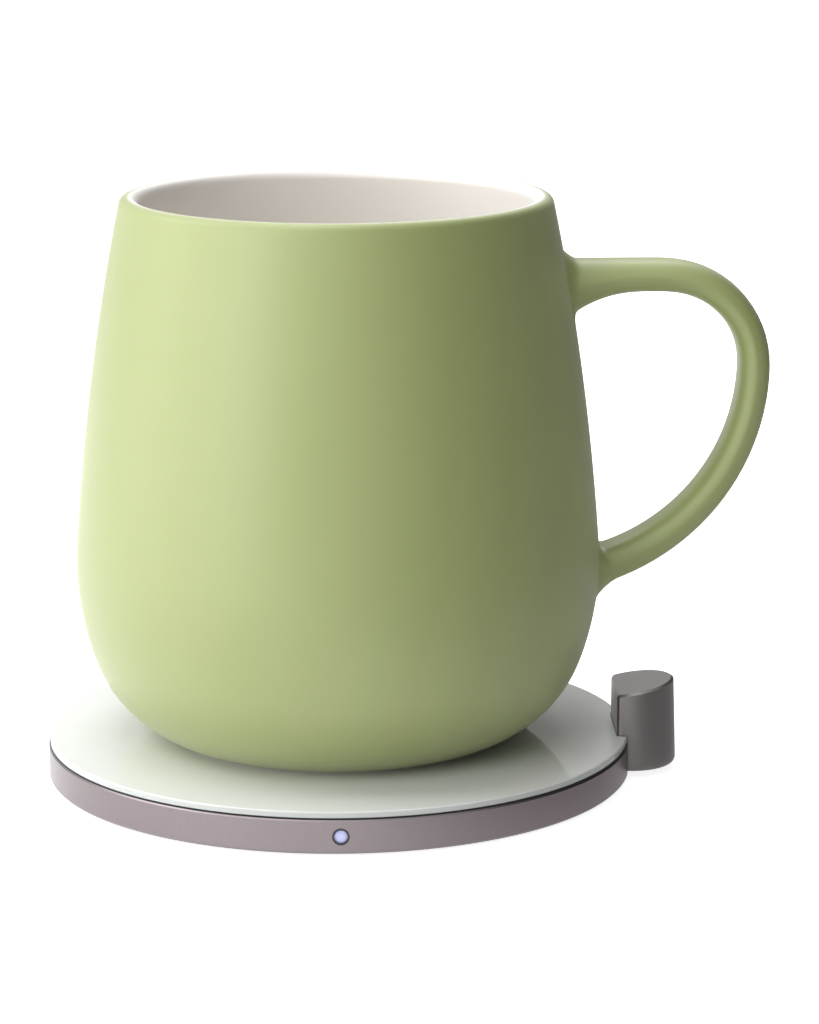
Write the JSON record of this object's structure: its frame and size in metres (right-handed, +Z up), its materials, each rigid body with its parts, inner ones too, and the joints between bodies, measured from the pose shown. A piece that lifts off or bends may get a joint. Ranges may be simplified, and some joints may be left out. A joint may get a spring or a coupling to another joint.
{
  "type": "electric mug warmer",
  "caption": "Round heated base with a glass top, a status light and a short inlet post at its edge, with the handled porcelain mug that stands on it.",
  "frame": {"origin": "centre of the base's underside, on the table", "axes": "+X from the base's centre through the inlet post and along the mug's handle, +Z up, -Y towards the status light"},
  "size_m": [0.1233, 0.1001, 0.0998],
  "materials": {
    "rim": "turned ring, satin, with a polished bevel",
    "gasket": "black adhesive gasket",
    "glass": "white-backed float glass with a ground edge",
    "shield": "thin rolled sheet",
    "plate": "moulded, fine grain",
    "foot_pad": "soft moulded pad",
    "screws": "zinc plated",
    "bracket": "moulded, heat resistant",
    "ferrite": "sintered ferrite",
    "coil": "copper winding, varnished",
    "components": "moulded epoxy",
    "header": "moulded nylon",
    "board": "glass-filled epoxy with solder mask",
    "lens": "clear moulded, glowing",
    "bezel": "moulded ring",
    "post": "moulded, fine satin grain",
    "post_cap": "moulded, fine grain",
    "socket": "drawn shell, nickel plated",
    "tongue": "moulded contact tab",
    "ribbon": "flat insulated cable",
    "mug": "porcelain, satin glaze in green",
    "heating_disc": "fired metal layer"
  },
  "bodies": {
    "base": {"rim_housing": "rim", "glass_gasket": "gasket", "glass_top": "glass", "heat_shield": "shield", "base_plate": "plate", "foot_pad": "foot_pad", "base_screws": "screws", "board_screws": "screws", "post_screws": "screws", "coil_bracket": "bracket", "ferrite_disc": "ferrite", "transmit_coil": "coil", "coil_leads": "coil", "sensor_seat": "foot_pad", "temperature_sensor": "components", "main_board": "board", "power_inductor": "ferrite", "filter_capacitors": "components", "driver_transistors": "components", "control_chip": "components", "wire_header": "header", "status_led": "lens", "light_bezel": "bezel", "light_pipe": "lens", "post_housing": "post", "post_cap": "post_cap", "power_socket": "socket", "socket_tongue": "tongue", "socket_board": "board", "link_ribbon": "ribbon"},
    "mug": {"mug_body": "mug", "heating_disc": "heating_disc"}
  },
  "joints": [
    {"name": "mug_lift", "type": "slide", "parent": "base", "child": "mug", "axis": [0, 0, 1], "range_m": [0, 0.12]}
  ]
}
